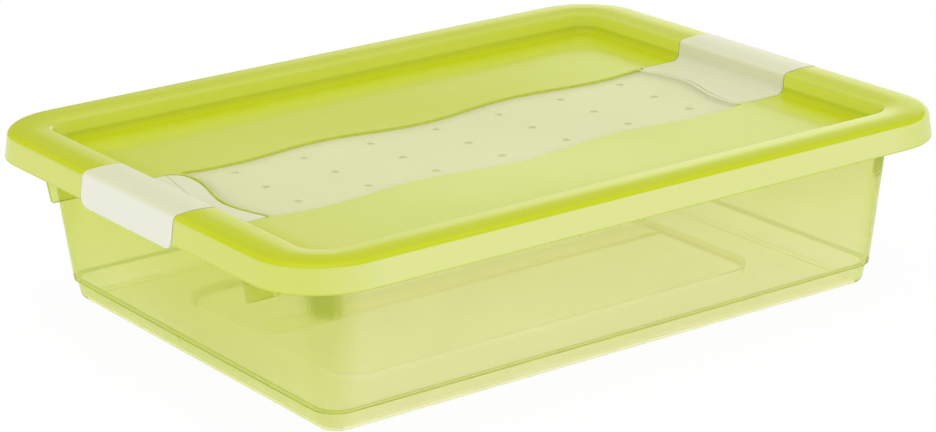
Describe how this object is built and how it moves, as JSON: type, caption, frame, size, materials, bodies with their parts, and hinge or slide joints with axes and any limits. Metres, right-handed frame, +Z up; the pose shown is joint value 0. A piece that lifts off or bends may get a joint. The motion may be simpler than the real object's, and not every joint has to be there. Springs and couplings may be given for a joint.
{
  "type": "potato storage bin",
  "caption": "Low rectangular plastic bin with a recessed lid, a vented wavy middle strip and two hinged end clips.",
  "frame": {"origin": "on the resting plane, under the middle of the bin", "axes": "+Z up, X along the long side from clip to clip, Y across; the pictured long side faces -Y"},
  "size_m": [0.3954, 0.3, 0.0926],
  "materials": {
    "lime_pp": "translucent lime polypropylene, satin moulded",
    "lid_pp": "translucent lime polypropylene, satin moulded",
    "natural_pp": "natural milky polypropylene, satin moulded"
  },
  "bodies": {
    "container": {"container": "lime_pp"},
    "lid": {"lid_shell": "lid_pp", "vent_strip": "natural_pp"},
    "clip_left": {"clip_left": "natural_pp"},
    "clip_right": {"clip_right": "natural_pp"}
  },
  "joints": [
    {"name": "lid_lift", "type": "slide", "parent": "container", "child": "lid", "axis": [0, 0, 1], "range_m": [0, 0.2]},
    {"name": "clip_left_hinge", "type": "hinge", "parent": "lid", "child": "clip_left", "pos_m": [-0.156, 0, 0.0785], "axis": [0, 1, 0], "range_deg": [0, 100]},
    {"name": "clip_right_hinge", "type": "hinge", "parent": "lid", "child": "clip_right", "pos_m": [0.156, 0, 0.0785], "axis": [0, 1, 0], "range_deg": [-100, 0]}
  ]
}
